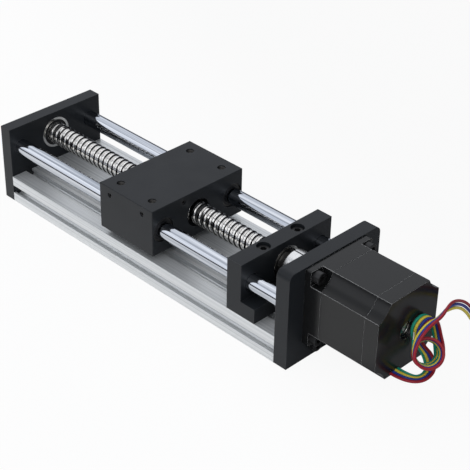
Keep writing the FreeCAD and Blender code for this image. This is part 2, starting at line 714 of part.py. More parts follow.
def lead_route(place, floor_route):
    """Corners of one lead's route, place counted in pitches from the bundle's middle line."""
    middles = [Vec(x_motor_rear + x, lead_exit_place + y, motor_bottom + lead_exit_height / 2 + z)
               for x, y, z, *step in exit_route]
    middles += [Vec(x_motor_rear + x, y, z) for x, y, z, *step in floor_route]
    steps = [Vec(*row[3:]) for row in exit_route + floor_route]
    corners = []
    for index, across in enumerate(steps):
        if index > 1:
            along = middles[min(index + 1, len(middles) - 1)] - middles[index - 1]
            along.normalize()
            across = across - along * across.dot(along)
            across.normalize()
        corners.append(middles[index] + across * (place * lead_pitch))
    return corners


def motor_lead(lead_name, corners):
    """Round lead along its route, straight runs joined by tangent arcs; prints its size."""
    edges = []
    radii = []
    start = corners[0]
    for before, corner, after in zip(corners, corners[1:], corners[2:]):
        back = before - corner
        ahead = after - corner
        tangent = lead_corner * min(back.Length, ahead.Length)
        half_turn = (math.pi - back.getAngle(ahead)) / 2
        radius = tangent / math.tan(half_turn)
        arc_start = corner + back.normalize() * tangent
        arc_end = corner + ahead.normalize() * tangent
        inward = (back + ahead).normalize()
        middle = corner + inward * (radius / math.cos(half_turn) - radius)
        edges.append(Part.LineSegment(start, arc_start).toShape())
        edges.append(Part.Arc(arc_start, middle, arc_end).toShape())
        radii.append(radius)
        start = arc_end
    edges.append(Part.LineSegment(start, corners[-1]).toShape())
    line = Part.Wire(edges)
    section = Part.Wire(Part.makeCircle(lead_diameter / 2, corners[0], corners[1] - corners[0]))
    lead = line.makePipeShell([section], True, False)
    expected = math.pi * (lead_diameter / 2) ** 2 * line.Length
    print(lead_name, "lead", round(line.Length, 1), "mm, tightest bend", round(min(radii), 2),
          "mm, volume ratio", round(lead.Volume / expected, 4))
    return lead


# Frame
keep("base_extrusion", base_extrusion())
keep("end_plate", end_plate())
keep("motor_plate", motor_plate())
keep("support_block", support_block())
keep("guide_rod_front", guide_rod(-1))
keep("guide_rod_rear", guide_rod(1))
keep("end_plate_screws", *[turned(cap_screw(m5, end_screw_reach), seat, Vec(-1, 0, 0))
                           for seat in plate_screws_end])
keep("rod_end_screws", *[turned(cap_screw(m6_low, rod_screw_reach), seat, Vec(-1, 0, 0))
                         for seat in rod_screws])
keep("motor_plate_screws", *[turned(cap_screw(m5, motor_plate_screw_reach), seat, Vec(1, 0, 0))
                             for seat in plate_screws_motor])
keep("support_block_screws", *[turned(cap_screw(m5, block_screw_reach), seat, Vec(0, 0, 1))
                               for seat in block_screws])

# Screw bearings, one at the idle end and a pair in the support block
bearing_radii = (bearing_outer_diameter / 2, bearing_race_diameter / 2,
                 bearing_inner_ring_diameter / 2, journal_diameter / 2, bearing_width)
ring, shields, end_inner = bearing(x_end_inner - bearing_width, *bearing_radii)
keep("end_bearing_outer", ring)
keep("end_bearing_shields", *shields)
keep("end_bearing_inner", end_inner)
pair = [bearing(x_block_inner + bearing_lip + index * bearing_width, *bearing_radii) for index in (0, 1)]
keep("support_bearing_outers", pair[0][0], pair[1][0])
keep("support_bearing_shields", *pair[0][1], *pair[1][1])
keep("support_bearing_inners", pair[0][2], pair[1][2])

# Carriage
keep("slider_block", slider_block())
keep("ball_nut", ball_nut())
keep("nut_screws", *[turned(cap_screw(m4, nut_screw_reach), seat, Vec(-1, 0, 0)) for seat in nut_screws])
keep("nut_wipers", *[tube(x0, x0 + wiper_thickness, wiper_diameter / 2, screw_diameter / 2 + running)
                     for x0 in (x_slider_end, x_nut_end - wiper_thickness)])
bearing_starts = {"end": x_slider_end + linear_bearing_inset,
                  "motor": x_slider_motor - linear_bearing_inset - linear_bearing_length}
seals = []
for side_name, side in (("front", -1), ("rear", 1)):
    for end_name, x0 in bearing_starts.items():
        keep(f"linear_bearing_{side_name}_{end_name}", linear_bearing(x0, side * rod_y))
        for start in (x0, x0 + linear_bearing_length - seal_thickness):
            seals.append(tube(start, start + seal_thickness, linear_bearing_diameter / 2 - seal_wall,
                              rod_radius + running, side * rod_y))
keep("linear_bearing_seals", *seals)
keep("slider_set_screws", *[turned(set_screw(side_screw_radius, side_screw_length, side_screw_radius), seat,
                                   Vec(0, math.copysign(1, seat.y), 0)) for seat in side_screws])
keep("slider_plug", turned(set_screw(plug_radius, plug_length, plug_radius), plug_seat, Vec(1, 0, 0)))

# Screw, its nut and ring, and the coupling to the motor
keep("ball_screw", ball_screw())
keep("lock_nut", lock_nut())
x_ring = x_end_inner - bearing_width - retaining_ring_thickness
keep("retaining_ring", tube(x_ring + fit_gap, x_ring + retaining_ring_thickness - fit_gap,
                            journal_diameter / 2 - retaining_groove + retaining_ring_wall,
                            journal_diameter / 2 - retaining_groove + fit_gap))
keep("coupling_hub_screw_side", to_screw_side(coupling_hub(screw_tail_diameter / 2 + fit_gap)))
keep("coupling_hub_motor_side", to_motor_side(coupling_hub(motor_shaft_diameter / 2 + fit_gap)))
spider = rod(x_coupling_mid + drill_gap, x_hub_motor - drill_gap, spider_core_diameter / 2)
for angle in (45, 135, 225, 315):
    spider = spider.fuse(sector(x_coupling_mid + drill_gap, x_hub_motor - drill_gap, coupling_diameter / 2,
                                spider_bore_diameter / 2, angle, spider_arm_angle))
keep("coupling_spider", spider.removeSplitter().cut(rod(x_coupling_mid, x_hub_motor, spider_bore_diameter / 2)))
clamp_screw = turned(cap_screw(m25, clamp_screw_reach), clamp_seat, Vec(0, 1, 0))
keep("coupling_clamp_screws", to_screw_side(clamp_screw), to_motor_side(clamp_screw))

# Motor
motor_radii = (motor_bearing_diameter / 2, motor_bearing_race / 2, motor_bearing_inner / 2,
               motor_shaft_diameter / 2, motor_bearing_width)
front = bearing(x_plate_outer + motor_bearing_cover, *motor_radii)
back = bearing(x_motor_rear - rear_hole_depth - motor_bearing_width, *motor_radii)
x_rotor = (x_bell + x_rear_cap - rotor_length) / 2
keep("motor_flange", motor_flange())
keep("motor_stator", motor_stator())
keep("motor_windings", motor_windings())
keep("motor_rear_cap", motor_rear_cap())
keep("motor_bearing_outers", front[0], back[0])
keep("motor_bearing_shields", *front[1], *back[1])
keep("motor_bearing_inners", front[2], back[2])
keep("motor_mount_screws", *[turned(cap_screw(m5, motor_screw_reach), seat, Vec(1, 0, 0))
                             for seat in motor_screws])
keep("motor_shaft", rod(x_plate_outer - motor_shaft_reach, x_motor_rear - rear_hole_depth - drill_gap,
                        motor_shaft_diameter / 2))
keep("motor_rotor", tube(x_rotor, x_rotor + rotor_length, stator_bore / 2 - rotor_gap,
                         motor_shaft_diameter / 2 + fit_gap))
keep("motor_lead_grommet", box(x_motor_rear - lead_exit_depth, x_motor_rear,
                               lead_exit_span[0] + fit_gap, lead_exit_span[1] - fit_gap,
                               motor_bottom, motor_bottom + lead_exit_height - fit_gap))
for index, lead_name in enumerate(lead_names):
    floor_route = knot_route if lead_name == short_lead else knot_route + arch_route
    place = index - (len(lead_names) - 1) / 2
    keep(f"lead_{lead_name}", motor_lead(lead_name, lead_route(place, floor_route)))

for name, shape in nodes.items():
    shape.exportStep(f"parts/{name}.step")
print(len(nodes), "nodes, slider travel", round(slide_low, 3), "to", round(slide_high, 3),
      "mm, screw turns", round(slide_low / screw_lead, 3), "to", round(slide_high / screw_lead, 3))
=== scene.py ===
import bpy
import bmesh
import math
from mathutils import Matrix, Vector


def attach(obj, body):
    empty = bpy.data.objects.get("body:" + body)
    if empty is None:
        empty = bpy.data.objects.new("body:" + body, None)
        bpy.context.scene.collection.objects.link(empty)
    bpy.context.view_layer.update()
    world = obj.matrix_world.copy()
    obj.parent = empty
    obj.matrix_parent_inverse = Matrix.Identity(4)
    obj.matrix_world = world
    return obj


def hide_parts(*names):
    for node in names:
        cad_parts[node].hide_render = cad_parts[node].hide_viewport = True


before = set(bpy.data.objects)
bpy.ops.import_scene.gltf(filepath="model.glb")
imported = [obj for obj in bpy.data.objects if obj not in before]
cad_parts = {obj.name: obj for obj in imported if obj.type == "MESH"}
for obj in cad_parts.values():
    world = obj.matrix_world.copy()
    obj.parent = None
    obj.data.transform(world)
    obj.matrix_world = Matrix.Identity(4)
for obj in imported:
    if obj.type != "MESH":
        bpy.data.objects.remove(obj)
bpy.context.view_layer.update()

# The camera stands in front of the motor end, above and to the near side, a long lens
# away, turned a degree about its own line.
look_at = Vector((0.131333, -0.106675, 0.138638))
look_azimuth = math.radians(44.643)
look_elevation = math.radians(33.123)
look_roll = math.radians(1.162)
look_distance = 0.776902
focal_pixels = 1418.114
picture_pixels = 470
sensor_width = 36.0

backward = Vector((math.sin(look_azimuth) * math.cos(look_elevation),
                   -math.cos(look_azimuth) * math.cos(look_elevation), math.sin(look_elevation)))
level_right = Vector((math.cos(look_azimuth), math.sin(look_azimuth), 0))
level_up = backward.cross(level_right)
camera_right = level_right * math.cos(look_roll) + level_up * math.sin(look_roll)
camera_up = level_up * math.cos(look_roll) - level_right * math.sin(look_roll)
camera_data = bpy.data.cameras.new("long_lens")
camera_data.sensor_width = sensor_width
camera_data.lens = focal_pixels * sensor_width / picture_pixels
camera_data.clip_start = 0.01
camera_data.clip_end = 50
camera = bpy.data.objects.new("long_lens", camera_data)
camera.matrix_world = Matrix.Translation(look_at + backward * look_distance) @ Matrix(
    (camera_right, camera_up, backward)).transposed().to_4x4()
bpy.context.scene.collection.objects.link(camera)
bpy.context.scene.camera = camera


# The base is one extruded aluminium profile, clear anodised. The die leaves fine straight
# lines along it, and the cut ends are covered by the plates.
class Value:
    """A socket of a material. Arithmetic on it adds Math nodes."""

    def __init__(self, finish, socket):
        self.finish = finish
        self.socket = socket

    def math(self, operation, *others):
        inputs = {index: value for index, value in enumerate((self, *others))}
        return self.finish.node("Math", {"operation": operation}, inputs)

    def flipped(self, operation, other):
        return self.finish.node("Math", {"operation": operation}, {0: other, 1: self})

    def __add__(self, other):
        return self.math("ADD", other)

    def __radd__(self, other):
        return self.flipped("ADD", other)

    def __sub__(self, other):
        return self.math("SUBTRACT", other)

    def __rsub__(self, other):
        return self.flipped("SUBTRACT", other)

    def __mul__(self, other):
        return self.math("MULTIPLY", other)

    def __rmul__(self, other):
        return self.flipped("MULTIPLY", other)


class Finish:
    """A surface finish: a Principled material whose constants sit on its own sockets."""

    def __init__(self, name, **constants):
        self.material = bpy.data.materials.new(name)
        self.material.use_nodes = True
        self.tree = self.material.node_tree
        self.shader = self.tree.nodes["Principled BSDF"]
        for socket, value in constants.items():
            self.shader.inputs[socket.replace("_", " ")].default_value = value
        self.place = self.node("TexCoord", {}, {}, "Object")

    def node(self, kind, settings, inputs, output=0):
        """Adds a node: its settings first, then the values or links of its sockets."""
        made = self.tree.nodes.new("ShaderNode" + kind)
        for name, value in settings.items():
            if name == "stops":
                for index, (position, colour) in enumerate(value):
                    stop = (made.color_ramp.elements[index] if index < 2
                            else made.color_ramp.elements.new(position))
                    stop.position = position
                    stop.color = colour
            else:
                setattr(made, name, value)
        for name, value in inputs.items():
            if isinstance(value, Value):
                self.tree.links.new(value.socket, made.inputs[name])
            else:
                made.inputs[name].default_value = value
        return Value(self, made.outputs[output])

    def noise(self, *lumps, detail=2.0, roughness=0.5):
        """Noise with so many lumps to the metre: one number for each axis, or one for all."""
        factors = lumps if len(lumps) == 3 else lumps * 3
        scaled = self.node("VectorMath", {"operation": "MULTIPLY"}, {0: self.place, 1: factors})
        inputs = {"Vector": scaled, "Scale": 1.0, "Detail": detail, "Roughness": roughness}
        return self.node("TexNoise", {}, inputs)

    def mix(self, factor, first, second):
        return self.node("Mix", {"data_type": "RGBA"}, {0: factor, 6: first, 7: second}, 2)

    def product(self, first, second):
        settings = {"data_type": "RGBA", "blend_type": "MULTIPLY"}
        return self.node("Mix", settings, {0: 1.0, 6: first, 7: second}, 2)

    def ramp(self, factor, *stops):
        return self.node("ValToRGB", {"stops": stops}, {"Fac": factor})

    def edge_highlight_mask(self, radius, spared, amount, lengthwise=0.0):
        """Mask of painted highlights: near 1 on corner tips, less along edges, and 0 on faces."""
        rounded = self.node("Bevel", {"samples": 8}, {"Radius": radius})
        flat = self.node("NewGeometry", {}, {}, "Normal")
        turned = self.node("VectorMath", {"operation": "DOT_PRODUCT"}, {0: rounded, 1: flat}, "Value")
        endwise = self.node("SeparateXYZ", {}, {0: rounded}).math("ABSOLUTE") * lengthwise
        lightened = (1.0 - turned - spared - endwise).math("MAXIMUM", 0.0) * self.noise(90) * amount
        return lightened.math("MINIMUM", 1.0)

    def feed(self, socket, value):
        self.tree.links.new(value.socket, self.shader.inputs[socket])

    def relief(self, height, distance, edge=0.0):
        """Bump of the given depth in metres, over edges broken to the given radius."""
        inputs = {"Height": height, "Distance": distance, "Strength": 1.0}
        if edge:
            inputs["Normal"] = self.node("Bevel", {"samples": 4}, {"Radius": edge})
        self.feed("Normal", self.node("Bump", {}, inputs))


def dress(finish, *names):
    """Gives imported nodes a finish, keeping their own shape."""
    for name in names:
        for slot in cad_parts[name].material_slots:
            slot.material = finish.material


extruded = Finish("extruded_silver", Metallic=0.5, Roughness=0.36)
die_lines = extruded.noise(5, 2600, 2600, detail=3.0, roughness=0.6)
broad_lines = extruded.noise(2, 800, 800, detail=3.0, roughness=0.6)
extruded.feed("Base Color", extruded.ramp(
    broad_lines, (0.36, (0.62, 0.64, 0.645, 1)), (0.64, (0.84, 0.855, 0.86, 1))))
extruded.feed("Roughness", 0.27 + die_lines * 0.18)
extruded.relief(die_lines, 0.000012, 0.00025)
dress(extruded, "base_extrusion")

# The end plate, motor plate, support block and slider are milled from aluminium, bead
# blasted and anodised black, with their edges lightly broken.
anodised = Finish("anodised_black", Roughness=0.38, Specular_IOR_Level=0.2)
blasting = anodised.noise(5200, detail=3.0, roughness=0.6)
dye = anodised.mix(anodised.noise(45, detail=3.0), (0.013, 0.015, 0.0175, 1), (0.018, 0.0205, 0.024, 1))
# The edges and corner tips are painted lighter grey as painted highlights.
painted_edge_highlights = anodised.edge_highlight_mask(radius=0.0006, spared=0.02, amount=3.0)
anodised.feed("Base Color", anodised.mix(painted_edge_highlights, dye, (0.13, 0.135, 0.14, 1)))
anodised.feed("Roughness", 0.32 + anodised.noise(70) * 0.1)
anodised.relief(blasting, 0.000005, 0.0004)
dress(anodised, "end_plate", "motor_plate", "support_block", "slider_block")

# Two guide rods of hardened steel, ground and hard chromed. The grinding leaves very fine
# rings round them, and long soft streaks in the chrome.
chromed = Finish("hard_chrome", Metallic=1.0, Roughness=0.1)
grinding = chromed.noise(2400, 60, 60)
streaks = chromed.noise(5, 520, 520, detail=3.0, roughness=0.6)
chromed.feed("Base Color", chromed.ramp(
    streaks, (0.35, (0.34, 0.37, 0.42, 1)), (0.65, (0.66, 0.685, 0.73, 1))))
chromed.feed("Roughness", 0.05 + grinding * 0.06)
dress(chromed, "guide_rod_front", "guide_rod_rear")

# The ball screw is rolled steel: a round-bottomed ball track winds along it with a 5 mm lead, between
# two turned shoulders, with ground journals at its ends. Its colour is set by distance from the axis.
# The crest between the turns is painted bright as a painted highlight, and the track's flanks are
# painted dark as painted shade.
axis_height = 0.0425
painted_light_radius = 0.0063
painted_light_span = 0.002
rolled = Finish("rolled_steel", Metallic=1.0, Roughness=0.12)
from_axis = rolled.node("VectorMath", {"operation": "MULTIPLY_ADD"},
                        {0: rolled.place, 1: (0, 1, 1), 2: (0, 0, -axis_height)})
radius_here = rolled.node("VectorMath", {"operation": "LENGTH"}, {0: from_axis}, "Value")
# Painted highlight on the crest and painted shade on the track's flanks, by distance from the axis.
painted_thread_light = rolled.ramp((radius_here - painted_light_radius) * (1 / painted_light_span),
                   (0.0, (0.9, 0.88, 0.85, 1)), (0.12, (0.88, 0.86, 0.83, 1)),
                   (0.34, (0.7, 0.69, 0.67, 1)), (0.44, (0.06, 0.058, 0.055, 1)),
                   (0.74, (0.06, 0.058, 0.055, 1)), (0.84, (0.97, 0.96, 0.93, 1)))
wear = rolled.mix(rolled.noise(300), (0.66, 0.65, 0.64, 1), (1.0, 1.0, 1.0, 1))
rolled.feed("Base Color", rolled.product(painted_thread_light, wear))
rolled.feed("Roughness", 0.05 + rolled.noise(900) * 0.1)
rolled.relief(rolled.noise(900, detail=3.0), 0.00002)

screw_radius = 0.008
track_lead = 0.005
track_radius = 0.00165
track_centre = 0.0003
track_half = math.sqrt(track_radius ** 2 - track_centre ** 2)
track_lip = 0.00015
track_points = 9
thread_start = -0.1648
thread_end = 0.0608
turn_steps = 24
journal_steps = 48
sharp_angle = 0.7

# Outlines of the screw's two turned ends, as places along the axis and radii.
idle_end = [(-0.1733, 0), (-0.1733, 0.0056), (-0.1729, 0.006), (-0.1725, 0.006),
            (-0.1725, 0.0057), (-0.1715, 0.0057), (-0.1715, 0.006), (-0.1655, 0.006),
            (-0.1655, 0.0072), (-0.1652, 0.0075), (-0.1646, 0.0075), (-0.1646, 0)]
driven_end = [(0.0606, 0), (0.0606, 0.0075), (0.0617, 0.0075), (0.062, 0.0072),
              (0.062, 0.006), (0.0791, 0.006), (0.0795, 0.0056), (0.0795, 0.005),
              (0.0918, 0.005), (0.0922, 0.0046), (0.0922, 0)]


def cross_edges(maker, places):
    """A chain of edges through the places, ready to spin."""
    verts = [maker.verts.new(place) for place in places]
    return verts + [maker.edges.new(pair) for pair in zip(verts, verts[1:])]


def made_of(name, maker, material):
    """Turns a bmesh into an object of the given material."""
    mesh = bpy.data.meshes.new(name)
    maker.to_mesh(mesh)
    maker.free()
    mesh.materials.append(material)
    piece = bpy.data.objects.new(name, mesh)
    bpy.context.scene.collection.objects.link(piece)
    return piece


thread = bmesh.new()
track = [(0.0, screw_radius), (track_lead / 2 - track_half - track_lip, screw_radius)]
for part in range(track_points):
    sweep = math.pi * (part + 0.5) / track_points
    reach = -math.cos(sweep) * track_radius
    depth = math.sin(sweep) * track_radius - track_centre
    if depth > 0:
        track.append((track_lead / 2 + reach, screw_radius - depth))
track += [(track_lead / 2 + track_half + track_lip, screw_radius), (track_lead, screw_radius)]
first_turn = thread_start - 2 * track_lead
turns = round((thread_end - first_turn) / track_lead) + 1
chain = cross_edges(thread, [(first_turn + x, 0, axis_height + radius) for x, radius in track])
bmesh.ops.spin(thread, geom=chain, cent=(0, 0, axis_height), axis=(1, 0, 0),
               dvec=(track_lead / turn_steps, 0, 0), angle=math.tau * turns,
               steps=turns * turn_steps, use_merge=False)
bmesh.ops.remove_doubles(thread, verts=thread.verts, dist=1e-5)
for cut, outward in ((thread_start, -1), (thread_end, 1)):
    bmesh.ops.bisect_plane(thread, geom=thread.verts[:] + thread.edges[:] + thread.faces[:],
                           dist=1e-6, plane_co=(cut, 0, 0), plane_no=(outward, 0, 0), clear_outer=True)
bmesh.ops.holes_fill(thread, edges=[edge for edge in thread.edges if edge.is_boundary], sides=0)
for outline in (idle_end, driven_end):
    chain = cross_edges(thread, [(x, 0, axis_height + radius) for x, radius in outline])
    bmesh.ops.spin(thread, geom=chain, cent=(0, 0, axis_height), axis=(1, 0, 0), angle=math.tau,
                   steps=journal_steps, use_merge=True)
    bmesh.ops.remove_doubles(thread, verts=thread.verts, dist=1e-6)
bmesh.ops.recalc_face_normals(thread, faces=thread.faces)
for face in thread.faces:
    face.smooth = True
for edge in thread.edges:
    if len(edge.link_faces) == 2 and edge.calc_face_angle() > sharp_angle:
        edge.smooth = False
screw_piece = made_of("ball_screw_thread", thread, rolled.material)
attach(screw_piece, "rotor")
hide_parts("ball_screw")

# The deep groove bearings of the screw and of the motor have ground rings of bright
# bearing steel, as the motor's shaft is.
ring_steel = Finish("bearing_steel", Metallic=1.0, Roughness=0.16)
ring_steel.feed("Base Color", ring_steel.mix(ring_steel.noise(800), (0.6, 0.59, 0.56, 1),
                                             (0.74, 0.73, 0.7, 1)))
ring_steel.feed("Roughness", 0.12 + ring_steel.noise(1200) * 0.12)
ring_steel.relief(ring_steel.noise(3000), 0.000006, 0.0003)
dress(ring_steel, "end_bearing_outer", "end_bearing_inner", "support_bearing_outers",
      "support_bearing_inners", "motor_bearing_outers", "motor_bearing_inners", "motor_shaft")

# The four linear bearings and the ball nut inside the slider, and the lock nut and the
# retaining ring on the screw, are phosphated steel, which is darker.
dark_steel = Finish("phosphated_steel", Metallic=0.7, Roughness=0.34)
dark_steel.feed("Base Color", dark_steel.mix(dark_steel.noise(500), (0.045, 0.043, 0.04, 1),
                                             (0.075, 0.072, 0.068, 1)))
dark_steel.feed("Roughness", 0.28 + dark_steel.noise(900) * 0.12)
dark_steel.relief(dark_steel.noise(2500), 0.000006, 0.0003)
dress(dark_steel, "linear_bearing_front_end", "linear_bearing_front_motor", "linear_bearing_rear_end",
      "linear_bearing_rear_motor", "ball_nut", "lock_nut", "retaining_ring")

# Black nitrile: the lips that wipe the rods and the screw where they leave the slider, the
# bearings' seals and the grommet that closes the notch where the leads leave the motor.
rubber = Finish("black_rubber", Roughness=0.62)
rubber.feed("Base Color", rubber.mix(rubber.noise(300), (0.007, 0.007, 0.008, 1),
                                     (0.013, 0.013, 0.014, 1)))
rubber.relief(rubber.noise(2200), 0.00003, 0.0002)
dress(rubber, "linear_bearing_seals", "nut_wipers", "end_bearing_shields", "support_bearing_shields",
      "motor_bearing_shields", "motor_lead_grommet")

# The slider's four mounting holes are tapped M6 from above; their threads catch the light.
# A thread is a helical ridge of 1 mm pitch on the wall of its hole.
slider_middle = -0.0368
holes_along = 0.032
holes_across = 0.065
tapping_bottom = 0.0533
tapping_pitch = 0.001
tapping_turns = 5.5
tapping_steps = 20
ridge = ((0.00296, 0), (0.00252, 0.0005), (0.00296, 0.001))
tapping = bmesh.new()
for end in (-1, 1):
    for side in (-1, 1):
        hole_x = slider_middle + end * holes_along / 2
        hole_y = side * holes_across / 2
        chain = cross_edges(tapping, [(hole_x + radius, hole_y, tapping_bottom + step)
                                      for radius, step in ridge])
        bmesh.ops.spin(tapping, geom=chain, cent=(hole_x, hole_y, 0), axis=(0, 0, 1),
                       dvec=(0, 0, tapping_pitch / tapping_steps), angle=math.tau * tapping_turns,
                       steps=round(tapping_turns * tapping_steps), use_merge=False)
bmesh.ops.remove_doubles(tapping, verts=tapping.verts, dist=1e-5)
threads_piece = made_of("slider_hole_threads", tapping, dark_steel.material)
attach(threads_piece, "carriage")

# Socket head and headless screws of blackened steel hold everything together. The same
# steel makes the plug of the slider's lubrication hole.
blackened = Finish("blackened_steel", Metallic=0.5, Roughness=0.34)
blackened.feed("Base Color", blackened.mix(blackened.noise(500), (0.018, 0.018, 0.019, 1),
                                           (0.03, 0.03, 0.031, 1)))
blackened.feed("Roughness", 0.28 + blackened.noise(900) * 0.15)
blackened.relief(blackened.noise(2600), 0.00001, 0.0002)
dress(blackened, "end_plate_screws", "rod_end_screws", "motor_plate_screws", "support_block_screws",
      "nut_screws", "slider_set_screws", "slider_plug", "coupling_clamp_screws", "motor_mount_screws")

# The jaw coupling has two turned aluminium hubs, left bright, with the lathe's rings on
# them, and a polyurethane spider squeezed between their claws.
turned_aluminium = Finish("turned_aluminium", Metallic=1.0, Roughness=0.24)
lathe_rings = turned_aluminium.noise(3600, 120, 120)
turned_aluminium.feed("Base Color", turned_aluminium.mix(lathe_rings, (0.5, 0.5, 0.5, 1),
                                                         (0.95, 0.95, 0.94, 1)))
turned_aluminium.feed("Roughness", 0.18 + lathe_rings * 0.2)
turned_aluminium.relief(lathe_rings, 0.00003, 0.0003)
dress(turned_aluminium, "coupling_hub_screw_side", "coupling_hub_motor_side")
spider = Finish("spider_polyurethane", Roughness=0.45)
spider.feed("Base Color", spider.mix(spider.noise(200), (0.05, 0.012, 0.012, 1),
                                     (0.09, 0.018, 0.016, 1)))
spider.relief(spider.noise(1500), 0.00002, 0.0002)
dress(spider, "coupling_spider")

# The stepper motor's stacked body and its two cast covers are sprayed gloss black over everything. The
# corner tips and the long edges are painted light grey as painted highlights.
sprayed = Finish("sprayed_black", Roughness=0.22, Specular_IOR_Level=0.27)
paint = sprayed.mix(sprayed.noise(60, detail=3.0), (0.009, 0.0093, 0.0096, 1), (0.012, 0.0125, 0.013, 1))
# Painted highlights: light grey on the corner tips and along the long edges.
painted_tip_glints = sprayed.edge_highlight_mask(radius=0.0013, spared=0.36, amount=50.0)
painted_edge_glints = sprayed.edge_highlight_mask(radius=0.0006, spared=0.04, amount=13.0, lengthwise=1.1)
painted_glints = painted_tip_glints.math("MAXIMUM", painted_edge_glints)
sprayed.feed("Base Color", sprayed.mix(painted_glints, paint, (0.75, 0.75, 0.74, 1)))
sprayed.feed("Roughness", 0.18 + sprayed.noise(240, detail=3.0) * 0.08)
sprayed.relief(sprayed.noise(700, detail=3.0), 0.000002, 0.0006)
dress(sprayed, "motor_flange", "motor_stator", "motor_rear_cap")

# Inside the motor, copper windings sit in the stator's slots, and a rotor of stacked iron
# sheets turns with the shaft.
copper = Finish("winding_copper", Metallic=1.0, Roughness=0.3)
copper.feed("Base Color", copper.mix(copper.noise(20, 1500, 1500), (0.5, 0.16, 0.06, 1),
                                     (0.66, 0.24, 0.09, 1)))
copper.relief(copper.noise(20, 2500, 2500), 0.00006)
dress(copper, "motor_windings")
laminated = Finish("laminated_iron", Metallic=1.0, Roughness=0.4)
laminated.feed("Base Color", laminated.mix(laminated.noise(2500, 30, 30), (0.28, 0.28, 0.29, 1),
                                           (0.4, 0.4, 0.41, 1)))
laminated.relief(laminated.noise(2500, 30, 30), 0.00004)
dress(laminated, "motor_rotor")

# The motor's four leads are tinned copper strands in PVC, 2 mm thick. They leave the rear
# cap side by side, are tied in a loose knot against it and arch away to the floor. The
# green one is cut short and ends in the knot.
lead_thickness = 0.0020
lead_pitch = 0.00235
motor_rear = 0.1755
lead_exit_y = -0.009
lead_exit_z = 0.0156
strand_length = 0.005
strand_centre = 0.002
strand_radius = 0.00055
strand_tip_radius = 0.00045
strand_edge = 0.0001

# Each row has a point of the bundle's middle line in millimetres, x counted from the
# motor's rear face, and the direction in which the leads lie side by side there. The exit
# rows count y and z from the exit.
exit_route = [
    (0.0, 0.0, 0.0, 0.0, -1.0, 0.0),
    (8.6, 0.0, 0.0, 0.43, -1.0, 0.0),
    (15.8, 6.7, -1.6, 0.85, -0.6, 0.2)]
knot_route = [
    (15.8, 7.8, 15.8, 0.9, 0.0, 0.35),
    (10.1, 11.0, 22.6, 0.9, 0.1, 0.3),
    (6.3, 7.0, 30.4, 1.0, 0.1, 0.0),
    (5.1, 3.0, 37.8, 1.0, 0.0, 0.0),
    (5.0, 2.9, 45.8, 1.0, 0.0, 0.0),
    (5.3, 10.1, 50.1, 1.0, 0.0, 0.0),
    (6.2, 17.4, 45.8, 1.0, 0.0, 0.0),
    (7.1, 19.3, 39.8, 0.9, -0.1, 0.1),
    (9.0, 19.9, 33.0, 0.9, -0.2, 0.2),
    (14.0, 16.0, 28.4, 0.85, -0.3, 0.25),
    (19.8, 9.0, 28.6, 0.7, -0.5, 0.4),
    (20.4, 0.8, 26.7, 0.7, -0.6, 0.4),
    (17.2, -5.2, 27.0, 0.6, -0.7, 0.4),
    (13.2, -8.0, 31.0, 0.5, -0.7, 0.4),
    (10.4, -6.9, 36.2, 0.4, -0.7, 0.6),
    (10.5, -2.8, 41.2, 0.4, -0.6, 0.7),
    (14.4, 2.0, 43.3, 0.5, -0.5, 0.7),
    (20.3, 4.6, 41.7, 0.6, -0.4, 0.7),
    (25.4, 3.4, 37.5, 0.7, -0.4, 0.5),
    (27.1, -1.6, 33.0, 0.7, -0.5, 0.4),
    (25.1, -8.0, 31.6, 0.7, -0.7, 0.4),
    (21.4, -12.6, 33.5, 0.6, -0.7, 0.4),
    (16.8, -14.7, 39.2, 0.5, -0.7, 0.5),
    (14.4, -9.9, 47.6, 0.8, -0.5, 0.2)]
arch_route = [
    (14.2, -4.2, 52.1, 0.8, -0.4, 0.3),
    (14.4, 2.4, 54.5, 0.8, -0.3, 0.4),
    (15.7, 9.2, 55.2, 0.6, -0.2, 0.6),
    (13.2, 18.6, 55.0, 0.4, 0.0, 0.9),
    (11.2, 28.0, 52.0, 0.0, 0.0, 1.0),
    (9.2, 37.0, 47.4, 0.0, 0.2, 1.0),
    (7.8, 45.5, 41.4, 0.0, 0.4, 0.9),
    (7.0, 53.0, 33.8, 0.0, 0.5, 0.8),
    (6.5, 59.5, 25.4, 0.2, 0.7, 0.5),
    (6.0, 66.0, 17.0, 0.7, 0.6, 0.3),
    (5.5, 73.5, 8.8, 1.0, 0.2, 0.1),
    (5.0, 83.0, 2.9, 1.0, 0.0, 0.0),
    (4.5, 94.0, 1.1, 1.0, 0.0, 0.0)]
bundle = [Vector((motor_rear + x / 1000, lead_exit_y + y / 1000, lead_exit_z + z / 1000))
          for x, y, z, *step in exit_route]
bundle += [Vector((motor_rear + x / 1000, y / 1000, z / 1000))
           for x, y, z, *step in knot_route + arch_route]
beside = [Vector(row[3:]) for row in exit_route + knot_route + arch_route]
knot_count = len(exit_route) + len(knot_route)


def lead_places(place, count):
    """Points of one lead, place counted in pitches from the bundle's middle line."""
    points = []
    for index in range(count):
        across = beside[index].copy()
        if index > 1:
            along = (bundle[min(index + 1, count - 1)] - bundle[index - 1]).normalized()
            across = (across - along * across.dot(along)).normalized()
        points.append(bundle[index] + across * place * lead_pitch)
    return points


def insulation(name, colour, shade):
    """Coloured PVC, a little uneven in colour and gloss."""
    finish = Finish(name, Roughness=0.4, Specular_IOR_Level=0.35)
    finish.feed("Base Color", finish.mix(finish.noise(260, detail=3.0), colour, shade))
    finish.feed("Roughness", 0.32 + finish.noise(900) * 0.16)
    finish.relief(finish.noise(1400), 0.00002)
    return finish.material


tinned = Finish("tinned_strand", Metallic=1.0, Roughness=0.35)
tinned.feed("Base Color", tinned.mix(tinned.noise(4000, 4000, 900), (0.62, 0.61, 0.58, 1),
                                     (0.8, 0.79, 0.77, 1)))
tinned.relief(tinned.noise(5000, 5000, 900), 0.00008)

